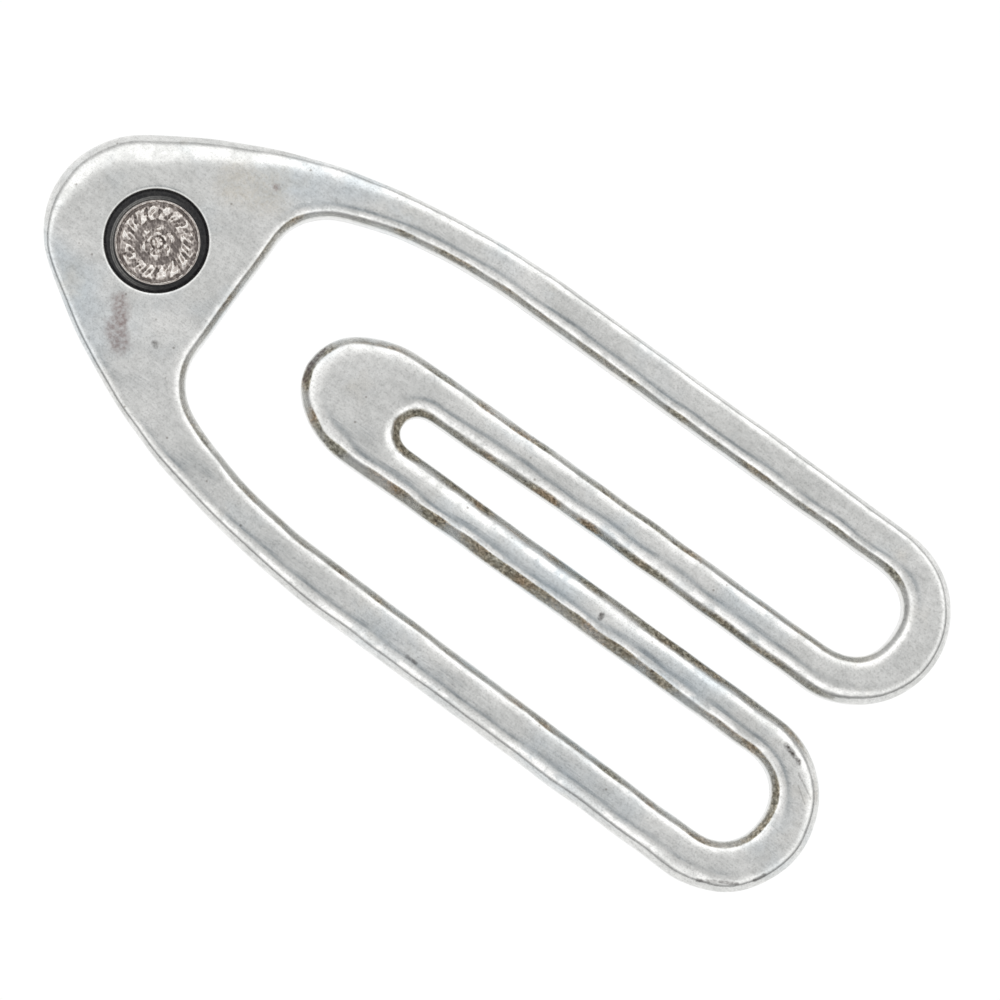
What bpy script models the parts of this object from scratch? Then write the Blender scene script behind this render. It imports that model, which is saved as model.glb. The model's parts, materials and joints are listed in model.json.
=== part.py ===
"""Money clip in the form of a broad paper clip, cast in silver, with a round medallion.

One flat ribbon of silver runs round an egg-shaped head, down two arms, round two return bends
and back up as the two rails of a tongue, whose closed tip lies in the head's window. The casting
is divided into named lengths where it flexes or changes shape. The medallion lies in a recess in
the head, bonded there by a bed of black resin that shows round it as a ring.

+X runs along the clip from head to return bends, +Y to the right with the head up and the
medallion facing the viewer, +Z up. The origin is on the surface the clip lies on, at the middle
of its box. Sizes are in millimetres, and each mesh is scaled to metres as it is made.
"""

import math

import bmesh
import bpy
import numpy as np
from mathutils import Matrix, Vector

METRES = 0.001

# The casting
LENGTH = 60.3
THICK = 2.2
NOSE_X = -LENGTH / 2
RIM_RADIUS = 0.45
RIM_STEPS = 2
ARC_STEP = math.radians(7)
ARC_CHORD = 1.6
END_CLEAR = 0.5

# Outer edge of the head: radius and turn, from the nose to the arm
HEAD_ARCS = ((5.9, 54.0), (37.6, 23.8), (63.0, 12.2))

# Window edge inside the head, right and left: half of its straight end, then radius and turn
WINDOW_X = -17.2
WINDOW_RIGHT = (4.3, ((3.7, 65.8), (22.2, 15.6), (43.0, 8.6)))
WINDOW_LEFT = (4.0, ((3.5, 66.4), (23.3, 15.0), (42.4, 8.6)))

# Return bends: an outer half circle, and an inner end that is a squared-off half ellipse
BEND_RADIUS_RIGHT = 5.67
BEND_RADIUS_LEFT = 5.79
SLOT_HALF = 1.20
INNER_START_X = 23.75
INNER_END_X = 27.05
INNER_SQUARENESS = 2.4
ARM_INNER_Y = 9.80
RAIL_OUTER_Y = 3.97

# Tongue: its tip is a half ellipse round a narrow slot, and it leans a little to the left
TIP_CENTRE_X = -6.0
TIP_LENGTH = 5.4
SLOT_TIP_HALF = 1.06
SLOT_TAPER_END_X = 6.0
SLOT_END_X = -4.55
LEAN = 0.24
LEAN_SPAN = 25.0

# Where the casting is divided, and where it flexes
HEAD_CUT_X = -13.5
TIP_CUT_X = -2.0
HINGE_X = 16.0
FLEX_POINT = (HINGE_X, 0, THICK / 2)
CUT_GAP = 0.3

# Medallion and its recess
MEDALLION_X = -23.1
RECESS_RADIUS = 3.15
RECESS_DEPTH = 1.4
DISC_RADIUS = 2.5
DISC_BASE_Z = 1.4
DISC_TOP_Z = 2.3
DISC_RIM_WIDTH = 0.3
DISC_FIELD_DROP = 0.2
BOSS_RADIUS = 0.85
RESIN_GAP = 0.2
RESIN_FLOOR = 0.2
RESIN_TOP_Z = 1.95
TURNED_SIDES = 48

# Colours in linear RGB, then roughness and metallic
SILVER = ((0.62, 0.61, 0.60), 0.32, 1.0)
MEDALLION_SILVER = ((0.52, 0.45, 0.40), 0.38, 1.0)
BLACK_RESIN = ((0.02, 0.018, 0.016), 0.35, 0.0)

SIDES = ("right", "left")


# ---- edges of the ribbon, as rows of x and y on the right-hand side ----

def arc(centre, radius, first, last):
    """Points on a circle from one angle to another, in degrees."""
    turn = math.radians(last - first)
    count = 2 + int(abs(turn) * max(1 / ARC_STEP, radius / ARC_CHORD))
    angles = math.radians(first) + np.linspace(0, turn, count)
    return np.column_stack([np.cos(angles), np.sin(angles)]) * radius + np.array(centre)


def bowed_edge(start, heading, arcs):
    """Arcs that each turn right and leave the last one tangentially, from a heading in degrees."""
    point = np.array(start, float)
    rows = [point[None]]
    for radius, turn in arcs:
        out = heading + 90
        away = np.array([math.cos(math.radians(out)), math.sin(math.radians(out))])
        centre = point - radius * away
        rows.append(arc(centre, radius, out, out - turn)[1:])
        point = rows[-1][-1]
        heading -= turn
    return np.vstack(rows)


def stretch(edge, low, high):
    """The part of an edge between two x positions; the edge runs towards +X.

    Points too near a cut are dropped, so that the rim's rounding has room to end there.
    """
    near = END_CLEAR if low > edge[0, 0] else 0
    inside = edge[(edge[:, 0] > low + near) & (edge[:, 0] < high - END_CLEAR)]
    ends = np.array([[x, np.interp(x, edge[:, 0], edge[:, 1])] for x in (low, high)])
    return np.vstack([ends[:1], inside, ends[1:]])


def lean(points):
    """The tongue's sideways lean, which grows with the square of the distance from the hinge."""
    ahead = np.maximum(HINGE_X - points[:, 0], 0)
    return points - np.column_stack([np.zeros(len(points)), LEAN * (ahead / LEAN_SPAN) ** 2])


def bend_centre(side):
    """Centre and radius of a return bend's outer half circle."""
    radius = BEND_RADIUS_RIGHT if side == "right" else BEND_RADIUS_LEFT
    return (-NOSE_X - radius, SLOT_HALF + radius), radius


def outer_edge(side):
    """Nose, flank and the outside of the arm as far as the return bend."""
    (bend_x, bend_y), radius = bend_centre(side)
    return np.vstack([bowed_edge((NOSE_X, 0), 90, HEAD_ARCS), [[bend_x, bend_y + radius]]])


def inner_edge(side):
    """Window edge and the inside of the arm as far as the inner end of the bend."""
    half, arcs = WINDOW_RIGHT if side == "right" else WINDOW_LEFT
    corner = bowed_edge((WINDOW_X, half), 90, arcs)
    return np.vstack([corner, [[INNER_START_X, ARM_INNER_Y]]])


def inner_end():
    """Squared-off half ellipse inside a return bend, from the arm round to the rail."""
    middle = (ARM_INNER_Y + RAIL_OUTER_Y) / 2
    half = (ARM_INNER_Y - RAIL_OUTER_Y) / 2
    angles = np.linspace(math.pi / 2, -math.pi / 2, 15)
    power = 2 / INNER_SQUARENESS
    along = (INNER_END_X - INNER_START_X) * np.cos(angles).clip(0) ** power
    across = half * np.sign(np.sin(angles)) * np.abs(np.sin(angles)) ** power
    return np.column_stack([INNER_START_X + along, middle + across])


def rail_edges(low, high):
    """Outer and slot edges of a rail between two x positions, both towards +X."""
    places = np.linspace(low, high, max(2, int((high - low) / 4)))
    half = np.interp(places, [SLOT_END_X, SLOT_TAPER_END_X], [SLOT_TIP_HALF, SLOT_HALF])
    outside = np.column_stack([places, np.full(len(places), RAIL_OUTER_Y)])
    return outside, np.column_stack([places, half])


# ---- outlines of the nodes, anticlockwise on the right-hand side ----

def on_side(points, side):
    """Mirrors right-hand points to the left, keeping the outline anticlockwise."""
    return points if side == "right" else points[::-1] * np.array([1, -1])


def head_outline():
    """Head from the nose to the cuts across the arms, open round the window."""
    halves = []
    for side in SIDES:
        outside = stretch(outer_edge(side), NOSE_X, HEAD_CUT_X)
        window = np.vstack([[[WINDOW_X, 0]], stretch(inner_edge(side), WINDOW_X, HEAD_CUT_X)])
        halves.append((outside, window))
    (right_out, right_in), (left_out, left_in) = halves
    mirror = np.array([1, -1])
    return np.vstack([right_in, right_out[::-1], left_out[1:] * mirror, left_in[:0:-1] * mirror])


def arm_outline(side):
    """Arm between the head's cut and the hinge's cut."""
    low, high = HEAD_CUT_X + CUT_GAP, HINGE_X - CUT_GAP / 2
    outside = stretch(outer_edge(side), low, high)
    inside = stretch(inner_edge(side), low, high)
    return on_side(np.vstack([inside, outside[::-1]]), side)


def bend_outline(side):
    """Return bend: a short leg of the arm, the turn, and a short leg of the rail."""
    low = HINGE_X + CUT_GAP / 2
    centre, radius = bend_centre(side)
    arm_out = stretch(outer_edge(side), low, centre[0])
    arm_in = stretch(inner_edge(side), low, INNER_START_X)
    rail_out, slot = rail_edges(low, INNER_START_X)
    turn = arc(centre, radius, -90, 90)
    outline = [arm_in, inner_end()[1:-1], rail_out[::-1], slot[:-1], turn, arm_out[-2::-1]]
    return on_side(np.vstack(outline), side)


def rail_outline(side):
    """Tongue rail between the tip's cut and the hinge's cut."""
    outside, slot = rail_edges(TIP_CUT_X + CUT_GAP, HINGE_X - CUT_GAP / 2)
    return lean(on_side(np.vstack([slot, outside[::-1]]), side))


def tip_outline():
    """Closed end of the tongue: a half ellipse outside, the slot's round end inside."""
    outside, slot = rail_edges(TIP_CENTRE_X, TIP_CUT_X)
    angles = np.radians(np.linspace(90, 270, 31))
    nose = np.column_stack([TIP_CENTRE_X + TIP_LENGTH * np.cos(angles),
                            RAIL_OUTER_Y * np.sin(angles)])
    slot_end = arc((SLOT_END_X + SLOT_TIP_HALF, 0), SLOT_TIP_HALF, 270, 90)
    top = [TIP_CUT_X, slot[-1, 1]]
    bottom = [TIP_CUT_X, -slot[-1, 1]]
    rows = [[top], outside[:0:-1], nose, outside[1:] * np.array([1, -1]), [bottom], slot_end]
    return lean(np.vstack(rows))


# ---- solids ----

def finish_mesh(name, bm, colour, origin):
    """Turns a bmesh in millimetres into a named object with its own material."""
    bmesh.ops.recalc_face_normals(bm, faces=bm.faces)
    bmesh.ops.transform(bm, matrix=Matrix.Translation(-Vector(origin)), verts=bm.verts)
    bmesh.ops.scale(bm, vec=(METRES, METRES, METRES), verts=bm.verts)
    mesh = bpy.data.meshes.new(name)
    bm.to_mesh(mesh)
    bm.free()
    mesh.shade_smooth()
    mesh.set_sharp_from_angle(angle=math.radians(35))
    mesh.materials.append(material(name, *colour))
    node = bpy.data.objects.new(name, mesh)
    bpy.context.collection.objects.link(node)
    return node


def material(name, colour, roughness, metallic):
    """Principled BSDF of one colour."""
    made = bpy.data.materials.new(name)
    made.use_nodes = True
    shader = made.node_tree.nodes["Principled BSDF"]
    shader.inputs["Base Color"].default_value = (*colour, 1)
    shader.inputs["Roughness"].default_value = roughness
    shader.inputs["Metallic"].default_value = metallic
    return made


def ribbon_solid(name, outline, cuts, axis=None):
    """Extrudes an outline through the thickness and rounds its rims, but not at the cuts.

    A piece that flexes is carried by its axis, and its own origin is on that line.
    """
    bm = bmesh.new()
    base = bm.faces.new([bm.verts.new((x, y, 0)) for x, y in outline])
    lid = bmesh.ops.extrude_face_region(bm, geom=[base])["geom"]
    lid_verts = [item for item in lid if isinstance(item, bmesh.types.BMVert)]
    bmesh.ops.translate(bm, vec=(0, 0, THICK), verts=lid_verts)
    rims = [edge for edge in bm.edges if is_rim(edge, cuts)]
    bmesh.ops.bevel(bm, geom=rims, offset=RIM_RADIUS, segments=RIM_STEPS, profile=0.5,
                    affect="EDGES", clamp_overlap=True)
    node = finish_mesh(name, bm, SILVER, FLEX_POINT if axis else (0, 0, 0))
    node.parent = axis
    return node


def is_rim(edge, cuts):
    """Whether an edge runs round the top or bottom face and isn't on a cut."""
    a, b = (vert.co for vert in edge.verts)
    level = abs(a.z - b.z) < 1e-6
    on_cut = any(abs(a.x - cut) < 1e-4 and abs(b.x - cut) < 1e-4 for cut in cuts)
    return level and not on_cut


def turned_solid(name, profile, colour):
    """Turns a profile of radius and height, from the axis below to the axis above."""
    bm = bmesh.new()
    rings = []
    for radius, height in profile:
        steps = TURNED_SIDES if radius > 0 else 1
        angles = [2 * math.pi * step / TURNED_SIDES for step in range(steps)]
        rings.append([bm.verts.new((MEDALLION_X + radius * math.cos(angle),
                                    radius * math.sin(angle), height)) for angle in angles])
    for low, high in zip(rings, rings[1:]):
        for step in range(TURNED_SIDES):
            after = (step + 1) % TURNED_SIDES
            corners = [low[step % len(low)], low[after % len(low)],
                       high[after % len(high)], high[step % len(high)]]
            bm.faces.new(list(dict.fromkeys(corners)))
    return finish_mesh(name, bm, colour, (0, 0, 0))


def flex_axis(name, parent=None):
    """Empty on a flex line, halfway through the thickness. The tongue's is carried by the arms'."""
    axis = bpy.data.objects.new(name, None)
    bpy.context.collection.objects.link(axis)
    if parent:
        axis.parent = parent
    else:
        axis.location = Vector(FLEX_POINT) * METRES
    return axis


# ---- the clip ----

def make_loop():
    """Head and arms. The recess is cut into the head from above."""
    head = ribbon_solid("head_plate", head_outline(), [HEAD_CUT_X])
    floor = THICK - RECESS_DEPTH
    cutter = turned_solid("recess_cutter", [(0, floor), (RECESS_RADIUS, floor),
                                            (RECESS_RADIUS, THICK + 1), (0, THICK + 1)], SILVER)
    cutter.hide_render = True
    cutter.display_type = "WIRE"
    recess = head.modifiers.new("recess", "BOOLEAN")
    recess.object = cutter
    recess.solver = "EXACT"
    for side in SIDES:
        cuts = [HEAD_CUT_X + CUT_GAP, HINGE_X - CUT_GAP / 2]
        ribbon_solid(f"{side}_arm", arm_outline(side), cuts)


def make_medallion():
    """Struck disc with a raised rim and boss, and the black bed that holds it."""
    field_z = DISC_TOP_Z - DISC_FIELD_DROP
    inner = DISC_RADIUS - DISC_RIM_WIDTH
    turned_solid("medallion_disc", [
        (0, DISC_BASE_Z), (DISC_RADIUS, DISC_BASE_Z), (DISC_RADIUS, DISC_TOP_Z),
        (inner, DISC_TOP_Z), (inner - 0.1, field_z), (BOSS_RADIUS + 0.1, field_z),
        (BOSS_RADIUS, DISC_TOP_Z), (0, DISC_TOP_Z)], MEDALLION_SILVER)
    bed_z = THICK - RECESS_DEPTH + RESIN_GAP
    outer = RECESS_RADIUS - RESIN_GAP
    inside = DISC_RADIUS + RESIN_GAP
    turned_solid("resin_bed", [
        (0, bed_z), (outer, bed_z), (outer, RESIN_TOP_Z), (inside, RESIN_TOP_Z),
        (inside, bed_z + RESIN_FLOOR), (0, bed_z + RESIN_FLOOR)], BLACK_RESIN)


def make_bends_and_tongue():
    """Return bends on the arms' flex line, rails and tip on the tongue's."""
    arm_axis = flex_axis("arm_flex_axis")
    tongue_axis = flex_axis("tongue_flex_axis", arm_axis)
    leg_cut = HINGE_X + CUT_GAP / 2
    rail_cuts = [TIP_CUT_X + CUT_GAP, HINGE_X - CUT_GAP / 2]
    for side in SIDES:
        ribbon_solid(f"{side}_return_bend", bend_outline(side), [leg_cut], arm_axis)
        ribbon_solid(f"{side}_tongue_rail", rail_outline(side), rail_cuts, tongue_axis)
    ribbon_solid("tongue_tip", tip_outline(), [TIP_CUT_X], tongue_axis)


for old in list(bpy.data.objects):
    bpy.data.objects.remove(old, do_unlink=True)
make_loop()
make_medallion()
make_bends_and_tongue()
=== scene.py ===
"""Silver money clip in the form of a broad paper clip, with a small round medallion in its head.

Every size is in millimetres and is brought to metres as a mesh is made.
"""

import json
import math

import bmesh
import bpy
import numpy as np
from mathutils import Matrix, Vector


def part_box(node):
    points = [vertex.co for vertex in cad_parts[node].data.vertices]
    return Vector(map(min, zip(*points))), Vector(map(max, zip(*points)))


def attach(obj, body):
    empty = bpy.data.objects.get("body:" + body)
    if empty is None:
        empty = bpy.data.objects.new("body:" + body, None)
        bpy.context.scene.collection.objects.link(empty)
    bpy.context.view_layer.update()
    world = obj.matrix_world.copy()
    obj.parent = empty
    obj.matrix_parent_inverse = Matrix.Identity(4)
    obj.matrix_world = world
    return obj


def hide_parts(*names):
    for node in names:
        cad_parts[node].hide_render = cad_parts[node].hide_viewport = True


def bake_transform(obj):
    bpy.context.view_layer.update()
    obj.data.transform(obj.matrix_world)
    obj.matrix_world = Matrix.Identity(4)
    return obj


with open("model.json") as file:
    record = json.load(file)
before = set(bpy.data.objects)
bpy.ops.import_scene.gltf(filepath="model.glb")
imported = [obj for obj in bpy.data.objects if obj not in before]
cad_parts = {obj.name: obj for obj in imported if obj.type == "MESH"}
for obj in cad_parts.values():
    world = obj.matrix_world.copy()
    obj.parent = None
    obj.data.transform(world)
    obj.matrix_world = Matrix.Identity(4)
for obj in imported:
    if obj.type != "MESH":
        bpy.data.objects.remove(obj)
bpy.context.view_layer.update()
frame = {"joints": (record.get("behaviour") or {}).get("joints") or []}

MM = 0.001

# ---------------------------------------------------------------------------------------------
# The table and the light
# A sheet of white acrylic lit from underneath, far enough below the clip for the tongue to dip.
# The walls of a light tent go round it, a little brighter towards one window.
# ---------------------------------------------------------------------------------------------

TABLE_DROP = 3.4
TABLE_HALF = 1500.0
VIEW_CENTRE = (2.92, -0.41, 1.1)
VIEW_WIDTH = 60.66
VIEW_TURN = math.radians(36.04)
VIEW_TILT = math.radians(5.0)
LENS = 180.0
SENSOR = 36.0
WINDOW_WAY = (-0.48, 0.80, 0.36)
LENS_WAY = (0, -0.087, 0.996)


def shader_nodes(name, world=False):
    """A new material or world, with its node tree emptied down to the output."""
    owner = bpy.data.worlds.new(name) if world else bpy.data.materials.new(name)
    owner.use_nodes = True
    tree = owner.node_tree
    tree.nodes.clear()
    kind = "ShaderNodeOutputWorld" if world else "ShaderNodeOutputMaterial"
    return owner, tree, tree.nodes.new(kind)


def add_node(tree, kind, inputs=(), **settings):
    """One node, with its settings, and its inputs given as values or as sockets to link from."""
    node = tree.nodes.new(kind)
    for key, value in settings.items():
        setattr(node, key, value)
    for key, value in dict(inputs).items():
        if isinstance(value, bpy.types.NodeSocket):
            tree.links.new(value, node.inputs[key])
        else:
            node.inputs[key].default_value = value
    return node


def ramp_node(tree, value, stops, smooth="LINEAR"):
    """A colour ramp of (place, colour) stops, where a colour is a grey or three numbers."""
    ramp = add_node(tree, "ShaderNodeValToRGB", {"Fac": value})
    ramp.color_ramp.interpolation = smooth
    elements = ramp.color_ramp.elements
    while len(elements) < len(stops):
        elements.new(0.5)
    for element, (place, colour) in zip(elements, stops):
        element.position = place
        element.color = (*colour, 1) if isinstance(colour, tuple) else (colour,) * 3 + (1,)
    return ramp.outputs["Color"]


def make_table():
    """A flat square of softly glowing white."""
    half, low = TABLE_HALF * MM, -TABLE_DROP * MM
    corners = [(-half, -half, low), (half, -half, low), (half, half, low), (-half, half, low)]
    mesh = bpy.data.meshes.new("table")
    mesh.from_pydata(corners, [], [(0, 1, 2, 3)])
    table = bpy.data.objects.new("table", mesh)
    bpy.context.collection.objects.link(table)
    white, tree, output = shader_nodes("table_white")
    glow = add_node(tree, "ShaderNodeEmission", {"Color": (1, 1, 1, 1), "Strength": 1.02})
    tree.links.new(glow.outputs[0], output.inputs["Surface"])
    mesh.materials.append(white)


def make_tent():
    """World light: grey overhead round a dark lens, bright walls, a dim band at the horizon."""
    world, tree, output = shader_nodes("light_tent", world=True)
    way = add_node(tree, "ShaderNodeTexCoord").outputs["Generated"]
    split = add_node(tree, "ShaderNodeSeparateXYZ", {"Vector": way})
    wall = ramp_node(tree, split.outputs["Z"], [
        (0.0, 0.29), (0.10, 0.35), (0.30, 0.58), (0.44, 0.96), (0.56, 1.14), (0.74, 1.18),
        (0.88, 0.94), (0.955, 0.73), (1.0, 0.69)])
    window = add_node(tree, "ShaderNodeVectorMath", {0: way, 1: WINDOW_WAY},
                      operation="DOT_PRODUCT")
    window = ramp_node(tree, window.outputs["Value"], [(0.0, 0.0), (1.0, 0.27)])
    lens = add_node(tree, "ShaderNodeVectorMath", {0: way, 1: LENS_WAY}, operation="DOT_PRODUCT")
    lens = ramp_node(tree, lens.outputs["Value"], [(0.9945, 1.0), (0.9977, (0.19, 0.25, 0.30))])
    total = add_node(tree, "ShaderNodeMix", {"Factor": 1.0, "A": wall, "B": window},
                     data_type="RGBA", blend_type="ADD").outputs["Result"]
    total = add_node(tree, "ShaderNodeMix", {"Factor": 1.0, "A": total, "B": lens},
                     data_type="RGBA", blend_type="MULTIPLY").outputs["Result"]
    sky = add_node(tree, "ShaderNodeBackground", {"Color": total})
    tree.links.new(sky.outputs[0], output.inputs["Surface"])
    bpy.context.scene.world = world


def make_camera():
    """Looks down on the medallion's side, a little from the left of the clip."""
    camera = bpy.data.objects.new("camera", bpy.data.cameras.new("camera"))
    bpy.context.collection.objects.link(camera)
    camera.data.lens = LENS
    camera.data.sensor_width = SENSOR
    camera.data.clip_start = 0.01
    distance = VIEW_WIDTH * LENS / SENSOR * MM
    back = Vector((0, -math.sin(VIEW_TILT), math.cos(VIEW_TILT)))
    right = Vector((math.cos(VIEW_TURN), math.sin(VIEW_TURN), 0))
    right = (right - back * right.dot(back)).normalized()
    turn = Matrix((right, back.cross(right), back)).transposed()
    place = Vector(VIEW_CENTRE) * MM + back * distance
    camera.matrix_world = Matrix.Translation(place) @ turn.to_4x4()
    bpy.context.scene.camera = camera


make_table()
make_tent()
make_camera()
bpy.context.scene.view_settings.view_transform = "Standard"

# ---------------------------------------------------------------------------------------------
# The outer loop: head, two arms and the outer half of each return bend
# Sterling silver, cast flat as one piece with the tongue, then chamfered and bevelled round
# its edges with a hand file and brushed to a satin.
# ---------------------------------------------------------------------------------------------

head_low, head_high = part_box("head_plate")
NOSE_X = head_low.x / MM
THICK = head_high.z / MM
HINGE_X = frame["joints"][0]["pos_m"][0] / MM

# Arcs are (radius, degrees turned); a window side is half of its straight end, then its arcs.
HEAD_ARCS = ((5.9, 54.0), (37.6, 23.8), (63.0, 12.2))
HEAD_CUT_X = -18.7
WINDOW_X = -17.2
WINDOW_RIGHT = (4.3, ((3.7, 65.8), (22.2, 15.6), (43.0, 8.6)))
WINDOW_LEFT = (4.0, ((3.5, 66.4), (23.3, 15.0), (42.4, 8.6)))
BEND_RADIUS = {"right": 5.67, "left": 5.79}
SLOT_HALF = 1.20
INNER_START_X = 23.75
INNER_END_X = 27.05
INNER_SQUARENESS = 2.4
ARM_INNER_Y = 9.80
RAIL_OUTER_Y = 3.97
TIP_CENTRE_X = -6.0
TIP_LENGTH = 5.4
TIP_SQUARENESS = 2.0
SLOT_TAPER_X = 6.0
SLOT_TIP_HALF = 1.06
SLOT_END_X = -4.55
LEAN = 0.24
LEAN_SPAN = 25.0
FINE = 0.04
CURVE_POINTS = 160
EDGE_POINTS = 8192
EASE = 0.3


def circle_run(centre, radius, first, last):
    """Points on a circle between two angles in degrees, about FINE apart."""
    turn = math.radians(last - first)
    count = max(4, int(abs(turn) * radius / FINE))
    angles = math.radians(first) + np.linspace(0, turn, count)
    return np.column_stack([np.cos(angles), np.sin(angles)]) * radius + np.array(centre)


def straight_run(start, end):
    """Points on a straight line, about FINE apart."""
    start, end = np.array(start, float), np.array(end, float)
    count = max(2, int(np.linalg.norm(end - start) / FINE))
    return start + (end - start) * np.linspace(0, 1, count)[:, None]


def bowed_run(start, heading, arcs):
    """Arcs of (radius, turn to the right in degrees), each leaving the last one tangentially."""
    point, runs = np.array(start, float), []
    for radius, turn in arcs:
        out = math.radians(heading + 90)
        centre = point - radius * np.array([math.cos(out), math.sin(out)])
        runs.append(circle_run(centre, radius, heading + 90, heading + 90 - turn))
        point, heading = runs[-1][-1], heading - turn
    return np.vstack(runs)


def power_run(centre, along, across, first, last, squareness):
    """A squared-off ellipse: cosine and sine of the angle, each to the power 2 / squareness."""
    angles = np.radians(np.linspace(first, last, CURVE_POINTS))
    cosine, sine = np.cos(angles), np.sin(angles)
    power = 2 / squareness
    x = centre[0] + along * np.sign(cosine) * np.abs(cosine) ** power
    y = centre[1] + across * np.sign(sine) * np.abs(sine) ** power
    return np.column_stack([x, y])


def lean(points):
    """The tongue's lean to the left, growing with the square of the distance past the flex."""
    ahead = np.maximum(HINGE_X - points[:, 0], 0)
    return points - np.column_stack([np.zeros(len(points)), LEAN * (ahead / LEAN_SPAN) ** 2])


def outside_runs(side):
    """Right-hand stretches of the edge that goes round the outside and into the tongue's slot."""
    radius = BEND_RADIUS[side]
    centre = (-NOSE_X - radius, SLOT_HALF + radius)
    flank = bowed_run((NOSE_X, 0), 90, HEAD_ARCS)
    arm = np.vstack([flank, straight_run(flank[-1], (centre[0], centre[1] + radius))])
    cut = np.argmin(np.abs(arm[:, 0] - HEAD_CUT_X))
    slot_turn = SLOT_END_X + SLOT_TIP_HALF
    slot = np.vstack([straight_run((centre[0], SLOT_HALF), (SLOT_TAPER_X, SLOT_HALF)),
                      straight_run((SLOT_TAPER_X, SLOT_HALF), (slot_turn, SLOT_TIP_HALF))])
    end = circle_run((slot_turn, 0), SLOT_TIP_HALF, 90, 180)
    return [arm[:cut + 1], arm[cut:], circle_run(centre, radius, 90, 0),
            circle_run(centre, radius, 0, -90), slot, end]


def inside_runs(side):
    """Right-hand stretches of the edge of the hole: window, arm, bend, rail and tongue tip.

    The window's stretch ends halfway round its corner, at 45 degrees.
    """
    half, arcs = WINDOW_RIGHT if side == "right" else WINDOW_LEFT
    window = np.vstack([straight_run((WINDOW_X, 0), (WINDOW_X, half)),
                        bowed_run((WINDOW_X, half), 90, arcs)])
    arm = np.vstack([window, straight_run(window[-1], (INNER_START_X, ARM_INNER_Y))])
    radius, slant = arcs[0][0], math.sqrt(0.5)
    cut = np.argmin(np.hypot(arm[:, 0] - WINDOW_X - radius * (1 - slant),
                             arm[:, 1] - half - radius * slant))
    centre = (INNER_START_X, (ARM_INNER_Y + RAIL_OUTER_Y) / 2)
    reach, across = INNER_END_X - INNER_START_X, (ARM_INNER_Y - RAIL_OUTER_Y) / 2
    rail = straight_run((INNER_START_X, RAIL_OUTER_Y), (TIP_CENTRE_X, RAIL_OUTER_Y))
    tip = power_run((TIP_CENTRE_X, 0), TIP_LENGTH, RAIL_OUTER_Y, 90, 180, TIP_SQUARENESS)
    return [arm[:cut + 1], arm[cut:],
            power_run(centre, reach, across, 90, 0, INNER_SQUARENESS),
            power_run(centre, reach, across, 0, -90, INNER_SQUARENESS), rail, tip]


def closed_edge(runs_of):
    """Joins both sides' runs into one closed edge, and eases its joints.

    The points are spread evenly along the length, and a Gaussian of width EASE smooths them as
    a product in the frequency domain. Returns the points, the length, and where each run ends.
    """
    right, left = runs_of("right"), runs_of("left")
    runs = right + [run[::-1] * np.array([1, -1]) for run in left[::-1]]
    runs[4:8] = [lean(run) for run in runs[4:8]]
    points = np.vstack([run[:-1] for run in runs] + [runs[-1][-1:]])
    along = np.concatenate([[0], np.cumsum(np.hypot(*np.diff(points, axis=0).T))])
    ends = np.cumsum([0] + [len(run) - 1 for run in runs])
    marks, length = along[ends], along[-1]
    even = np.linspace(0, length, EDGE_POINTS, endpoint=False)
    spread = np.column_stack([np.interp(even, along, points[:, axis]) for axis in (0, 1)])
    waves = np.fft.fftfreq(len(even), length / len(even)) * 2 * math.pi
    soft = np.exp(-0.5 * (waves * EASE) ** 2)[:, None]
    return np.fft.ifft(np.fft.fft(spread, axis=0) * soft, axis=0).real, length, marks


def edge_at(edge, places):
    """Points and unit left-hand normals of a closed edge at distances along it."""
    points, length, _ = edge
    step = length / len(points)
    position = np.asarray(places) / step
    low = np.floor(position).astype(int)
    part = (position - low)[:, None]
    tangent = (np.roll(points, -1, axis=0) - np.roll(points, 1, axis=0)) / (2 * step)
    near, far = low % len(points), (low + 1) % len(points)
    here = points[near] * (1 - part) + points[far] * part
    way = tangent[near] * (1 - part) + tangent[far] * part
    way /= np.linalg.norm(way, axis=1, keepdims=True)
    return here, np.column_stack([-way[:, 1], way[:, 0]])


OUTSIDE = closed_edge(outside_runs)
INSIDE = closed_edge(inside_runs)
RUN_COUNTS = {"head": 110, "arm": 240, "bend": 52, "rail": 160, "tip": 46}
HALF_RUNS = ["head", "arm", "bend", "bend", "rail", "tip"]
WAVES = 16


def run_places(marks, first, last):
    """Distances along an edge for runs first to last, evenly within each; they may wrap round."""
    names = HALF_RUNS + HALF_RUNS[::-1]
    places = []
    for index in range(first, last):
        lap, run = divmod(index, len(names))
        start, end = marks[run] + lap * marks[-1], marks[run + 1] + lap * marks[-1]
        places.append(np.linspace(start, end, RUN_COUNTS[names[run]], endpoint=False))
    return np.concatenate(places + [[end]])


def waver(places, length, seed, highest=60):
    """Slow wander along a closed edge: seeded harmonics of its length, about one either way."""
    draw = np.random.default_rng(seed)
    order = np.arange(2, highest)
    phase = draw.uniform(0, 2 * math.pi, len(order))
    size = draw.normal(0, 1, len(order)) / order ** 0.35
    angles = 2 * math.pi * np.outer(places, order) / length + phase
    return np.sin(angles) @ size / math.sqrt(0.5 * (size ** 2).sum())


def ripple(x, y, wavelength, seed):
    """Gentle unevenness of a hand-filed face: seeded plane waves added up, about one either way."""
    draw = np.random.default_rng(seed)
    turn = draw.uniform(0, 2 * math.pi, WAVES)
    pitch = 2 * math.pi / (wavelength * draw.uniform(0.6, 1.9, WAVES))
    phase = draw.uniform(0, 2 * math.pi, WAVES)
    angles = (np.multiply.outer(x, pitch * np.cos(turn))
              + np.multiply.outer(y, pitch * np.sin(turn)) + phase)
    return np.sin(angles).sum(axis=-1) / math.sqrt(WAVES / 2)


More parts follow.
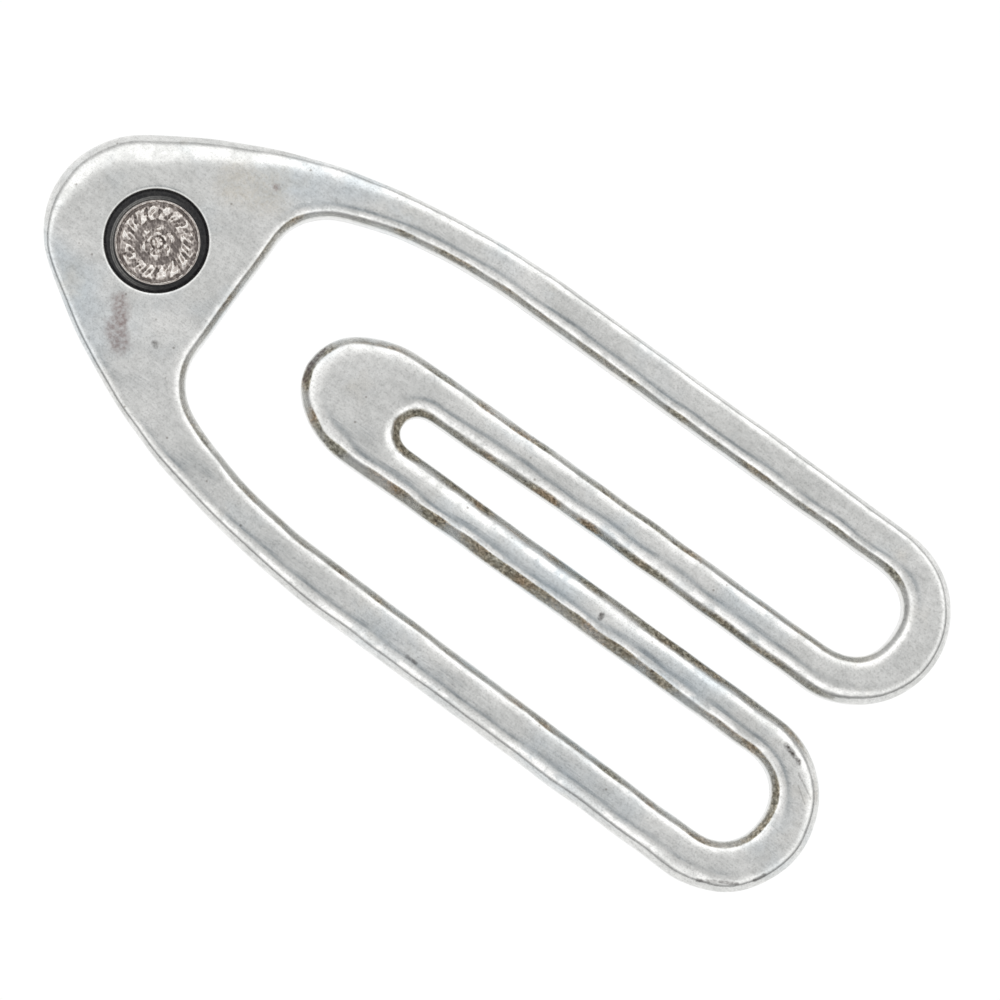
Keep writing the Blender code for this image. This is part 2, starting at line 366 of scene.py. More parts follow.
BACK_ROUND = 0.40
ARRIS = 0.07
RIPPLE = 0.010
WAVER = 0.013
RIPPLE_LENGTH = 4.0
SKIN_WELD = 0.0008
SHARP_ANGLE = math.radians(50)
RIM_MARGIN = 0.25
NARROW_REACH = 1.3
WIDE_EXTRA = 0.75
RIM_STEPS = np.array([0, .008, .025, .05, .08, .12, .16, .20, .24, .28, .32, .37, .42, .47, .53,
                      .60, .68, .78, .89, 1.0])
WALL_STEPS = 3
BACK_ROUND_STEPS = 6
TOP_STEPS = 9
BACK_STEPS = 6

# Along each edge, counted in runs: chamfer width, softness and steepness, bevel slope and width,
# grime, and bright wear that also paints a highlight. Runs 0 and 12 are the middle of the head, and
# run 6 the slot's end or the tip.
OUTSIDE_RIM = (
    (0.0, 0.46, 0.18, 1.22, 0.31, 1.46, 0.08, 0.5),
    (0.3, 0.42, 0.20, 1.22, 0.33, 1.80, 0.10, 0.5),
    (0.5, 0.40, 0.19, 1.22, 0.33, 1.70, 0.10, 0.5),
    (0.75, 0.34, 0.16, 1.22, 0.33, 1.38, 0.08, 0.5),
    (1.0, 0.23, 0.11, 1.18, 0.31, 0.98, 0.06, 0.6),
    (1.13, 0.19, 0.08, 1.18, 0.30, 0.66, 0.06, 0.8),
    (1.4, 0.18, 0.07, 1.20, 0.28, 0.50, 0.08, 1.0),
    (1.85, 0.18, 0.07, 1.20, 0.28, 0.50, 0.10, 1.0),
    (2.1, 0.30, 0.12, 1.55, 0.08, 0.60, 0.05, 0.1),
    (3.1, 0.35, 0.13, 1.55, 0.08, 0.60, 0.05, 0.1),
    (3.6, 0.44, 0.12, 1.10, 0.25, 0.95, 0.30, 0.9),
    (4.0, 0.45, 0.12, 1.00, 0.28, 1.00, 0.50, 1.0),
    (4.2, 0.40, 0.12, 0.95, 0.28, 1.00, 0.86, 0.9),
    (5.0, 0.42, 0.12, 0.95, 0.28, 1.02, 0.90, 0.9),
    (5.8, 0.50, 0.12, 0.95, 0.25, 1.00, 1.10, 0.8),
    (6.0, 0.62, 0.12, 0.95, 0.20, 0.95, 1.60, 0.5),
    (6.3, 0.60, 0.14, 0.95, 0.22, 1.02, 1.15, 0.7),
    (7.0, 0.55, 0.15, 0.95, 0.24, 1.08, 0.84, 0.8),
    (7.8, 0.53, 0.15, 0.95, 0.24, 1.08, 0.80, 0.8),
    (8.3, 0.44, 0.12, 1.05, 0.20, 0.95, 0.45, 0.8),
    (9.0, 0.38, 0.13, 1.40, 0.08, 0.80, 0.12, 0.15),
    (9.5, 0.38, 0.12, 1.35, 0.16, 0.85, 0.15, 0.5),
    (9.9, 0.38, 0.11, 1.25, 0.33, 0.90, 0.22, 1.0),
    (10.2, 0.36, 0.11, 1.25, 0.33, 0.88, 0.18, 1.0),
    (10.7, 0.32, 0.10, 1.25, 0.33, 0.82, 0.18, 1.0),
    (11.0, 0.25, 0.08, 1.20, 0.14, 0.56, 0.24, 0.2),
    (11.7, 0.27, 0.08, 1.20, 0.12, 0.56, 0.24, 0.2),
    (11.86, 0.38, 0.13, 1.22, 0.28, 1.00, 0.12, 0.4),
    (12.0, 0.46, 0.18, 1.22, 0.31, 1.46, 0.08, 0.5))
INSIDE_RIM = (
    (0.0, 0.37, 0.06, 0.95, 0.27, 0.74, 0.58, 0.7),
    (0.8, 0.39, 0.06, 0.95, 0.27, 0.74, 0.74, 0.8),
    (1.3, 0.37, 0.07, 0.95, 0.27, 0.76, 0.70, 0.9),
    (1.9, 0.36, 0.07, 0.95, 0.27, 0.76, 0.58, 0.9),
    (2.2, 0.40, 0.07, 0.95, 0.25, 0.76, 1.10, 0.7),
    (2.5, 0.37, 0.11, 0.95, 0.18, 0.85, 0.62, 0.5),
    (3.0, 0.37, 0.12, 0.95, 0.18, 0.80, 0.46, 0.6),
    (4.0, 0.38, 0.09, 0.95, 0.21, 0.90, 0.58, 0.7),
    (4.3, 0.40, 0.08, 0.95, 0.21, 0.92, 0.72, 0.7),
    (5.0, 0.42, 0.08, 0.95, 0.21, 0.95, 0.72, 0.7),
    (5.4, 0.48, 0.12, 1.00, 0.19, 1.20, 0.66, 0.4),
    (6.0, 0.54, 0.14, 1.00, 0.18, 1.30, 0.76, 0.3),
    (6.7, 0.56, 0.12, 0.98, 0.17, 1.12, 0.90, 0.6),
    (7.0, 0.64, 0.07, 0.90, 0.19, 1.02, 1.02, 0.9),
    (7.6, 0.60, 0.07, 0.90, 0.19, 1.00, 0.90, 0.9),
    (7.9, 0.46, 0.08, 0.95, 0.21, 0.95, 0.84, 0.9),
    (8.2, 0.42, 0.10, 0.95, 0.21, 0.88, 0.78, 0.8),
    (9.3, 0.42, 0.10, 0.95, 0.19, 0.85, 0.72, 0.6),
    (9.7, 0.44, 0.09, 0.95, 0.19, 0.85, 1.10, 0.6),
    (10.1, 0.40, 0.09, 0.95, 0.20, 0.84, 0.66, 0.6),
    (11.0, 0.42, 0.08, 0.95, 0.22, 0.80, 0.58, 0.6),
    (12.0, 0.37, 0.06, 0.95, 0.27, 0.74, 0.58, 0.7))

# The hand's waver in four of those measures: its share, seed and highest harmonic.
CHAMFER_WAVER = (0.045, 11, 90)
BEVEL_WAVER = (0.05, 13, 40)
SLOPE_WAVER = (0.07, 15, 80)
GRIME_WAVER = (0.28, 17, 90)


def ease(value, low, high):
    """Rises smoothly from 0 at low to 1 at high."""
    part = np.clip((value - low) / (high - low), 0, 1)
    return part * part * (3 - 2 * part)


def rim_at(edge, places):
    """The rim's seven measures at places along an edge, with the hand's waver in some."""
    table = np.array(OUTSIDE_RIM if edge is OUTSIDE else INSIDE_RIM)
    run = np.interp(np.mod(places, edge[1]), edge[2], np.arange(len(edge[2])))
    chamfer, soft, steep, slope, bevel, grime, rubbing_and_highlight = (
        np.interp(run, table[:, 0], table[:, column])[:, None] for column in range(1, 8))
    chamfer, bevel, slope, grime = (
        measure * (1 + share * waver(places, edge[1], seed, highest)[:, None])
        for measure, (share, seed, highest) in (
            (chamfer, CHAMFER_WAVER), (bevel, BEVEL_WAVER), (slope, SLOPE_WAVER),
            (grime, GRIME_WAVER)))
    return chamfer, soft, steep, slope, bevel, grime, rubbing_and_highlight


def soft_ramp(run, soft):
    """0 for a negative run, rising to the run itself: softness times ln(1 + e^(run / softness))."""
    return soft * np.logaddexp(0, run / soft)


def drop_at(depth, rim):
    """How far the top lies below the face at a depth in from the wall.

    It is a steep chamfer and a shallow bevel, each a straight slope that eases out into the face,
    and at the wall a quarter-round arris.
    """
    chamfer, soft, steep, slope, bevel = rim[:5]
    steep = steep * soft_ramp(chamfer - depth, soft)
    shallow = slope * soft_ramp(bevel - depth, 0.06 + 0.07 * bevel)
    short = np.clip(ARRIS - depth, 0, ARRIS)
    return steep + shallow + ARRIS - np.sqrt(ARRIS ** 2 - short ** 2)


def grime_spread(edge, depth, chamfer):
    """The share of grime by depth: less at the arris, full on the chamfer, none past its end."""
    if edge is OUTSIDE:
        return (0.3 + 0.7 * ease(depth, 0, 0.16)) * (1 - ease(depth, 0.20, chamfer + 0.28))
    spread = 0.35 + 0.35 * ease(depth, 0, 0.12) + 0.30 * ease(depth, 0.1, chamfer)
    return spread * (1 - ease(depth, chamfer - 0.06, chamfer + 0.12))


def rub_and_highlight_spread(depth, chamfer, bevel):
    """The share of bright wear and painted highlight by depth: a band that starts and ends softly
    on the bevel.
    """
    inner_end = np.maximum(chamfer + 0.38, bevel - 0.05)
    return (ease(depth, chamfer - 0.04, chamfer + 0.08)
            * (1 - ease(depth, inner_end - 0.18, inner_end + 0.04)))


def rim_block(edge, places):
    """The rim swept along an edge, as a grid of points from the top face down to the back.

    Returns the points, the grime and the share of bright wear and painted highlight at each, and
    the rim's measures. Grime lies on the chamfer and thins out down the wall, and where there is
    little of it the arris and the wall are worn bright too, which also paints a highlight on them.
    """
    points, normal = edge_at(edge, places)
    outward = 1 if edge is OUTSIDE else -1
    points = points + normal * (WAVER * waver(places, edge[1], 21))[:, None]
    rim = rim_at(edge, places)
    chamfer, bevel = rim[0], rim[4]
    reach = np.minimum(bevel + RIM_MARGIN, NARROW_REACH) + WIDE_EXTRA * ease(bevel, 1.2, 1.6)
    depth = RIM_STEPS[::-1] * reach
    level = THICK - drop_at(depth, rim)
    part = np.linspace(0, 1, WALL_STEPS + 2)[1:-1]
    turn = np.linspace(math.pi / 2, 0, BACK_ROUND_STEPS)
    wall_level = level[:, -1:] * (1 - part) + BACK_ROUND * part
    back_depth = BACK_ROUND * (1 - np.sin(turn)) + 0 * reach
    back_level = BACK_ROUND * (1 - np.cos(turn)) + 0 * reach
    low = np.hstack([0 * wall_level, back_depth])
    inset = np.hstack([depth, low])
    level = np.hstack([level, wall_level, back_level])
    flat = points[:, None] - outward * normal[:, None] * inset[..., None]
    dirt, rubbing_and_highlight = rim[5:7]
    grime = np.hstack([dirt * grime_spread(edge, depth, chamfer),
                       dirt * np.linspace(0.25, 0.0, low.shape[1])])
    # Bright wear on the bevel, and on the arris and wall where grime is thin, also paints a
    # highlight there.
    rub_and_highlight = rubbing_and_highlight * rub_and_highlight_spread(depth, chamfer, bevel)
    edge_rub_and_highlight = 0.5 * np.clip(1 - 2 * dirt, 0, 1)
    rub_and_highlight = np.hstack([np.maximum(rub_and_highlight, edge_rub_and_highlight * (1 - ease(depth, 0.05, 0.2))),
                        edge_rub_and_highlight + 0 * low])
    return np.concatenate([flat, level[..., None]], axis=2), grime, rub_and_highlight, rim


def face_rows(start, finish, steps):
    """Straight rows of points between two columns of points, without the columns themselves."""
    part = np.linspace(0, 1, steps + 1)[1:-1][None, :, None]
    return start[:, None] * (1 - part) + finish[:, None] * part


def top_rows(inner, outer):
    """The top face between two rims, with what is left of both their drops."""
    top = face_rows(inner[0][:, 0], outer[0][:, 0], TOP_STEPS)
    top[..., 2] = THICK
    wall_column = len(RIM_STEPS) - 1
    for points, _, _, rim in (outer, inner):
        depth = np.linalg.norm(top[..., :2] - points[:, wall_column, None, :2], axis=2)
        top[..., 2] -= drop_at(depth, rim)
    return top


def uneven(grid):
    """The file's slight unevenness, full at the top face and none at the back."""
    lifted = grid.copy()
    rise = ripple(grid[..., 0], grid[..., 1], RIPPLE_LENGTH, 5)
    lifted[..., 2] += RIPPLE * grid[..., 2] / THICK * rise
    return lifted


class Skin:
    """Grids of points, welded along the rows they share into one closed mesh."""

    def __init__(self, flat=False):
        self.points, self.faces, self.count, self.flat = [], [], 0, flat
        self.marks = {"grime": [], "rub_and_highlight": []}

    def add(self, grid, grime=0.0, rub_and_highlight=0.0, wrap=False):
        """Adds a grid's quads; wrap joins the last column to the first. Returns its numbers."""
        rows, columns = grid.shape[:2]
        number = np.arange(rows * columns).reshape(rows, columns) + self.count
        looped = np.hstack([number, number[:, :1]]) if wrap else number
        quads = [looped[:-1, :-1], looped[:-1, 1:], looped[1:, 1:], looped[1:, :-1]]
        self.faces.extend(np.stack(quads, -1).reshape(-1, 4).tolist())
        self.points.append((grid if self.flat else uneven(grid)).reshape(-1, 3))
        self.marks["grime"].append(np.broadcast_to(grime, (rows, columns)).reshape(-1))
        self.marks["rub_and_highlight"].append(np.broadcast_to(rub_and_highlight, (rows, columns)).reshape(-1))
        self.count += rows * columns
        return number

    def close(self, ring):
        """Closes a ring of point numbers with one face."""
        self.faces.append([int(number) for number in ring])

    def finish(self, name):
        """Welds the grids, turns the faces outwards and makes the object."""
        mesh = bpy.data.meshes.new(name)
        mesh.from_pydata(np.vstack(self.points) * MM, [], self.faces)
        for mark, values in self.marks.items():
            attribute = mesh.attributes.new(mark, "FLOAT", "POINT")
            attribute.data.foreach_set("value", np.concatenate(values).astype(np.float32))
        work = bmesh.new()
        work.from_mesh(mesh)
        bmesh.ops.remove_doubles(work, verts=work.verts, dist=SKIN_WELD * MM)
        bmesh.ops.recalc_face_normals(work, faces=work.faces)
        work.to_mesh(mesh)
        work.free()
        mesh.shade_smooth()
        mesh.set_sharp_from_angle(angle=SHARP_ANGLE)
        made = bpy.data.objects.new(name, mesh)
        bpy.context.collection.objects.link(made)
        return made


def add_ribbon(skin, first, last):
    """Adds the ribbon along some runs as rings: outer rim, back, inner rim, top."""
    outer = rim_block(OUTSIDE, run_places(OUTSIDE[2], first, last))
    inner = rim_block(INSIDE, run_places(INSIDE[2], first, last))
    back = face_rows(outer[0][:, -1], inner[0][:, -1], BACK_STEPS)
    top = top_rows(inner, outer)
    rings = np.concatenate([outer[0], back, inner[0][:, ::-1], top], axis=1)
    marks = [np.concatenate([outer[kind], 0 * back[..., 0], inner[kind][:, ::-1], 0 * top[..., 0]],
                            axis=1) for kind in (1, 2)]
    return skin.add(rings, *marks, wrap=True)


# The recess: its lip is (distance outside the radius, drop below the face), from the face down.
RECESS_X = -23.1
RECESS_RADIUS = 3.15
RECESS_FLOOR = 0.9
RECESS_LIP = ((0.34, 0.0), (0.20, 0.002), (0.13, 0.010), (0.07, 0.035), (0.03, 0.07), (0.0, 0.12),
              (0.0, 0.4), (0.0, THICK - RECESS_FLOOR - 0.05), (-0.05, THICK - RECESS_FLOOR))
HUB_RADIUS = 2.0
OWN_SHARE = 0.3
HEAD_RINGS = 20
RING_CROWDING = 1.2
RIM_FADE = 0.6


def head_border(outer, inner, rows, column):
    """The closed border of the head's face: outer rim, right cut, window rim, left cut."""
    return np.vstack([outer[:, column], rows[-1, ::-1], inner[::-1, column], rows[0]])


def ways_round(border, centre):
    """Unit vectors from a centre, one for each border point and never turning back.

    Each turn is OWN_SHARE of the point's own turn, and for the rest the turn that its share of
    the border's length gives.
    """
    own = np.unwrap(np.arctan2(border[:, 1] - centre[1], border[:, 0] - centre[0]))
    step = np.linalg.norm(np.diff(border, axis=0, append=border[:1]), axis=1)
    shared = np.sign(own[-1] - own[0]) * 2 * math.pi * (np.cumsum(step) - step) / step.sum()
    turn = OWN_SHARE * own + (1 - OWN_SHARE) * (shared + (own - shared).mean())
    return np.column_stack([np.cos(turn), np.sin(turn)])


def add_head(skin):
    """Adds the head: its two rims, a pierced top round the recess, and the back."""
    outer = rim_block(OUTSIDE, run_places(OUTSIDE[2], 11, 13))
    inner = rim_block(INSIDE, run_places(INSIDE[2], 11, 13))
    skin.add(*outer[:3])
    skin.add(*inner[:3])
    border = head_border(outer[0], inner[0], top_rows(inner, outer), 0)
    centre = np.array([RECESS_X, 0.0])
    way = ways_round(border[:, :2], centre)
    circle = centre + way * (RECESS_RADIUS + RECESS_LIP[0][0])
    part = np.linspace(0, 1, HEAD_RINGS)[:, None, None] ** RING_CROWDING
    flat = border[None, :, :2] * (1 - part) + circle[None] * part
    reach = np.linalg.norm(flat - border[None, :, :2], axis=2)
    level = THICK - (THICK - border[:, 2]) * np.clip(1 - reach / RIM_FADE, 0, 1) ** 2
    skin.add(np.concatenate([flat, level[..., None]], axis=2), wrap=True)
    lip = [np.column_stack([centre + way * (RECESS_RADIUS + out), np.full(len(way), THICK - low)])
           for out, low in RECESS_LIP]
    lip += [np.column_stack([centre + way * radius, np.full(len(way), RECESS_FLOOR)])
            for radius in (HUB_RADIUS, 0.0)]
    skin.add(np.stack(lip), wrap=True)
    rows = face_rows(outer[0][:, -1], inner[0][:, -1], BACK_STEPS)
    border = head_border(outer[0], inner[0], rows[:, ::-1], -1)
    part = np.linspace(0, 1, HEAD_RINGS)[:, None, None]
    hub = centre + HUB_RADIUS * ways_round(border[:, :2], centre)
    hub = np.column_stack([hub, 0 * border[:, 0]])
    skin.close(skin.add(border[None] * (1 - part) + hub * part, wrap=True)[-1])


def make_loop_skin():
    """Left bend and arm, head, right arm and bend, closed where the tongue's skin carries on."""
    skin = Skin()
    left = add_ribbon(skin, 9, 11)
    add_head(skin)
    right = add_ribbon(skin, 13, 15)
    skin.close(left[0])
    skin.close(right[-1])
    return skin.finish("outer_loop")


# Tarnish marks, nicks and scratches on the top: each stroke's two ends, radius, strength, colour.
PURPLE_BROWN = (0.24, 0.165, 0.155)
YELLOW_BROWN = (0.62, 0.52, 0.36)
NEAR_BLACK = (0.07, 0.06, 0.055)
PURPLE_BLACK = (0.085, 0.055, 0.06)
TARNISH_MARKS = (
    ((-22.7, -4.3), (-22.1, -5.0), 0.60, 0.80, PURPLE_BROWN),
    ((-22.0, -5.7), (-21.2, -6.3), 0.75, 0.75, PURPLE_BROWN),
    ((-19.5, -5.1), (-19.4, -5.2), 0.22, 0.80, NEAR_BLACK),
    ((-21.2, 5.6), (-19.4, 6.3), 1.50, 0.30, YELLOW_BROWN),
    ((-19.2, 6.9), (-19.1, 6.9), 0.26, 0.70, PURPLE_BROWN),
    ((12.0, -2.55), (12.0, -2.70), 0.20, 0.90, NEAR_BLACK),
    ((25.6, -2.33), (26.85, -2.72), 0.19, 1.00, NEAR_BLACK),
    ((27.2, -3.3), (28.7, -4.1), 0.07, 0.45, NEAR_BLACK),
    ((27.6, -3.9), (28.6, -4.6), 0.06, 0.35, NEAR_BLACK),
    ((29.1, -9.5), (28.8, -10.1), 0.14, 0.80, NEAR_BLACK),
    ((28.1, -10.85), (26.0, -12.1), 0.11, 0.75, NEAR_BLACK),
    ((4.6, -11.47), (3.9, -11.47), 0.13, 0.70, NEAR_BLACK),
    ((-10.9, -1.5), (-11.16, -0.5), 0.22, 0.85, PURPLE_BLACK),
    ((-11.16, -0.5), (-11.02, 0.7), 0.16, 0.80, PURPLE_BLACK))
MARK_CORE, MARK_END = 0.45, 1.15
MOST_RAGGED = 0.6
MARK_LEVELS = (0.7, 1.3)


def noise(tree, place, scale, detail=2.0, roughness=0.5):
    """Noise between 0 and 1 whose grains are about 1000 / scale millimetres wide."""
    return add_node(tree, "ShaderNodeTexNoise", {
        "Vector": place, "Scale": scale, "Detail": detail, "Roughness": roughness}).outputs["Fac"]


def math_node(tree, operation, first, second=0.0):
    """One sum, product or other operation on sockets or numbers."""
    return add_node(tree, "ShaderNodeMath", {0: first, 1: second}, operation=operation).outputs[0]


def mixed(tree, factor, first, second, blend="MIX"):
    """Two colours mixed by a factor."""
    return add_node(tree, "ShaderNodeMix", {"Factor": factor, "A": first, "B": second},
                    data_type="RGBA", blend_type=blend).outputs["Result"]


def vector_node(tree, operation, first, second=(0, 0, 0)):
    """One vector operation; dot products, lengths and distances come out as a value."""
    node = add_node(tree, "ShaderNodeVectorMath", {0: first, 1: second}, operation=operation)
    return node.outputs["Value" if operation in ("DOT_PRODUCT", "LENGTH", "DISTANCE") else 0]


def mark_on(tree, place, shift, worn, colour, mark):
    """The colour with one ragged stroke of tarnish laid over it, thinned where it is worn.

    Seen from above, the stroke is everything within a radius of a line: each place is measured
    from the nearest point on it, after a shift that makes its edge ragged.
    """
    start, end, radius, strength, tint = mark
    start, end = (Vector((*corner, 0)) * MM for corner in (start, end))
    line = end - start
    ragged = vector_node(tree, "MULTIPLY", shift, (min(radius, MOST_RAGGED) * MM,) * 3)
    away = vector_node(tree, "SUBTRACT", vector_node(tree, "ADD", place, ragged), start)
    away = vector_node(tree, "MULTIPLY", away, (1, 1, 0))
    along = vector_node(tree, "DOT_PRODUCT", away, line / line.length_squared)
    along = add_node(tree, "ShaderNodeClamp", {"Value": along}).outputs[0]
    nearest = add_node(tree, "ShaderNodeVectorMath", {0: line, "Scale": along},
                       operation="SCALE").outputs[0]
    away = vector_node(tree, "DISTANCE", away, nearest)
    here = add_node(tree, "ShaderNodeMapRange", {
        "Value": away, "From Min": MARK_CORE * radius * MM, "From Max": MARK_END * radius * MM,
        "To Min": strength, "To Max": 0.0}).outputs["Result"]
    return mixed(tree, math_node(tree, "MULTIPLY", here, worn), colour, (*tint, 1))


def worn_silver():
    """Sterling silver: brushed satin, worn bright at the rims with painted highlight patches, brown
    where grime lies.

    The paragraphs below are the satin's colour with its bright wear and painted highlight patches,
    its pits, the grime's stain, the marks, and the roughness and grit.
    """
    silver, tree, output = shader_nodes("worn_silver")
    place = add_node(tree, "ShaderNodeTexCoord").outputs["Object"]
    grime = add_node(tree, "ShaderNodeAttribute", attribute_name="grime").outputs["Fac"]
    rub_and_highlight = add_node(tree, "ShaderNodeAttribute", attribute_name="rub_and_highlight").outputs["Fac"]
    drawn = add_node(tree, "ShaderNodeMapping", {"Vector": place, "Scale": (0.09, 1.0, 1.0)})
    speck = noise(tree, place, 8000.0, 2.0, 0.6)
    patch = noise(tree, place, 620.0, 3.0, 0.6)
    cloud = noise(tree, place, 240.0, 5.0, 0.6)
    brush = noise(tree, drawn.outputs[0], 7000.0, 3.0, 0.6)

    colour = ramp_node(tree, cloud, [(0.30, (0.66, 0.665, 0.65)), (0.70, (0.83, 0.83, 0.815))])
    cool = ramp_node(tree, noise(tree, place, 170.0, 3.0), [(0.50, 0.0), (0.72, 0.75)])
    colour = mixed(tree, cool, colour, (0.66, 0.72, 0.76, 1))
    warm = ramp_node(tree, noise(tree, place, 330.0, 4.0), [(0.60, 0.0), (0.80, 0.5)])
    colour = mixed(tree, warm, colour, (0.74, 0.69, 0.60, 1))
    # Patches of bright wear near the rims, which also paint the highlight patches there.
    rub_and_highlight_patches = ramp_node(tree, patch, [(0.44, 0.0), (0.53, 1.0)])
    rub_and_highlight_shine = math_node(tree, "MULTIPLY", rub_and_highlight, rub_and_highlight_patches)
    colour = mixed(tree, rub_and_highlight_shine, colour, (0.97, 0.965, 0.95, 1))
    flecks = ramp_node(tree, speck, [(0.30, 0.80), (0.50, 1.0)])
    colour = mixed(tree, 1.0, colour, flecks, "MULTIPLY")
    lines = ramp_node(tree, brush, [(0.32, 0.92), (0.55, 1.0)])
    colour = mixed(tree, 1.0, colour, lines, "MULTIPLY")
    mottle = ramp_node(tree, noise(tree, place, 2300.0, 3.0, 0.65), [(0.30, 0.88), (0.62, 1.04)])
    colour = mixed(tree, 1.0, colour, mottle, "MULTIPLY")

    cells = add_node(tree, "ShaderNodeTexVoronoi", {"Vector": place, "Scale": 1100.0})
    chosen = ramp_node(tree, cells.outputs["Color"], [(0.60, 0.0), (0.64, 0.6)], "CONSTANT")
    pit = ramp_node(tree, cells.outputs["Distance"], [(0.05, 1.0), (0.11, 0.0)])
    pit = math_node(tree, "MULTIPLY", pit, chosen)
    colour = mixed(tree, pit, colour, (0.22, 0.20, 0.18, 1))

    broken = math_node(tree, "ADD", noise(tree, place, 5200.0, 4.0, 0.75),
                       math_node(tree, "MULTIPLY", patch, 0.5))
    stain = ramp_node(tree, math_node(tree, "MULTIPLY", grime, broken),
                      [(0.16, 0.0), (0.74, 1.0)], "EASE")
    grains = noise(tree, place, 4600.0, 4.0, 0.75)
    brown = ramp_node(tree, grains, [(0.34, (0.09, 0.08, 0.07)), (0.50, (0.29, 0.27, 0.225)),
                                     (0.68, (0.70, 0.67, 0.60))])
    hue = ramp_node(tree, noise(tree, place, 420.0, 3.0, 0.6), [
        (0.40, (0.98, 1.0, 0.97)), (0.54, (1.02, 0.97, 0.88)), (0.68, (1.15, 0.92, 0.73))])
    brown = mixed(tree, 1.0, brown, hue, "MULTIPLY")
    colour = mixed(tree, stain, colour, brown)

    wander = add_node(tree, "ShaderNodeTexNoise", {"Vector": place, "Scale": 2200.0,
                      "Detail": 4.0, "Roughness": 0.65}).outputs["Color"]
    shift = vector_node(tree, "SUBTRACT", wander, (0.5,) * 3)
    shift = vector_node(tree, "MULTIPLY", shift, (1.5,) * 3)
    thin = ramp_node(tree, noise(tree, place, 4200.0, 3.0, 0.7), [(0.34, 1.0), (0.62, 0.35)])
    height = add_node(tree, "ShaderNodeSeparateXYZ", {"Vector": place}).outputs["Z"]
    upper = add_node(tree, "ShaderNodeMapRange", {
        "Value": height, "From Min": MARK_LEVELS[0] * MM,
        "From Max": MARK_LEVELS[1] * MM}).outputs["Result"]
    thin = math_node(tree, "MULTIPLY", thin, upper)
    for mark in TARNISH_MARKS:
        colour = mark_on(tree, place, shift, thin, colour, mark)

    rough = ramp_node(tree, cloud, [(0.3, 0.14), (0.7, 0.22)])
    rough = math_node(tree, "ADD", rough, math_node(tree, "MULTIPLY", stain, 0.22))
    rough = math_node(tree, "SUBTRACT", rough, math_node(tree, "MULTIPLY", rub_and_highlight_shine, 0.04))
    grit = math_node(tree, "MULTIPLY", noise(tree, place, 5000.0, 3.0), grime)
    height = math_node(tree, "ADD", math_node(tree, "MULTIPLY", grit, 3.0), brush)
    bump = add_node(tree, "ShaderNodeBump", {"Height": height, "Strength": 0.5,
                    "Distance": 0.000008})
    shader = add_node(tree, "ShaderNodeBsdfPrincipled", {
        "Base Color": colour, "Metallic": 1.0, "Roughness": rough, "Normal": bump.outputs[0]})
    tree.links.new(shader.outputs[0], output.inputs["Surface"])
    return silver


SILVER = worn_silver()
outer_loop = make_loop_skin()
outer_loop.data.materials.append(SILVER)
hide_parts("head_plate", "left_arm", "right_arm", "left_return_bend",
            "right_return_bend")
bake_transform(outer_loop)

# ---------------------------------------------------------------------------------------------
# The tongue: the inner half of each return bend, two rails and their closed tip
# Part of the same casting, filed to a rounder crown than the loop. Its slot is pierced with a
# saw, and its walls are left rougher and darker.
# ---------------------------------------------------------------------------------------------


def make_tongue_skin():
    """One ribbon from the right bend round the tip to the left bend."""
    skin = Skin()
    rings = add_ribbon(skin, 3, 9)
    skin.close(rings[0])
    skin.close(rings[-1])
    return skin.finish("tongue")


tongue = make_tongue_skin()
tongue.data.materials.append(SILVER)
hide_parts("left_tongue_rail", "right_tongue_rail", "tongue_tip")
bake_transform(tongue)

# ---------------------------------------------------------------------------------------------
# The resin bed: black cold enamel poured into the recess
# It bonds the medallion and stands round it as a glossy black ring, drawn up a little at both
# its walls as it sets.
# ---------------------------------------------------------------------------------------------

TURN_STEPS = 288
# The painted reflection's two pale arcs on the resin are measured from this radius.
SHEEN_RADIUS = 2.2

# The medallion sits a little off the recess's centre. The profile is (radius, level), top first.
MEDALLION_CENTRE = (-22.98, -0.05)
RESIN_PROFILE = ((0.0, 1.30), (2.3, 1.30), (2.36, 1.36), (2.37, 1.90), (2.40, 1.95), (2.50, 1.945),
                 (2.64, 1.94), (2.74, 1.91), (2.85, 1.90), (2.96, 1.92),
                 (3.04, 1.96), (3.09, 2.01), (3.125, 2.06), (3.138, 2.05), (3.14, 1.5),
                 (3.13, 0.97), (3.08, 0.93), (1.6, 0.92), (0.0, 0.92))


def turned(radii, levels, name, material, centre=(RECESS_X, 0.0)):
    """A solid turned about a centre: a radius and a level by row, or by row and angle.

    A point is the centre plus the radius times (cosine, sine) of its angle, at its level.
    """
    angles = np.linspace(0, 2 * math.pi, TURN_STEPS, endpoint=False)
    shape = (len(radii), TURN_STEPS)
    radii = np.broadcast_to(np.asarray(radii).reshape(len(radii), -1), shape)
    levels = np.broadcast_to(np.asarray(levels).reshape(len(levels), -1), shape)
    x, y = centre[0] + radii * np.cos(angles), centre[1] + radii * np.sin(angles)
    points = np.stack([x, y, levels], -1)
    skin = Skin(flat=True)
    skin.add(points, wrap=True)
    made = skin.finish(name)
    made.data.materials.append(material)
    return made


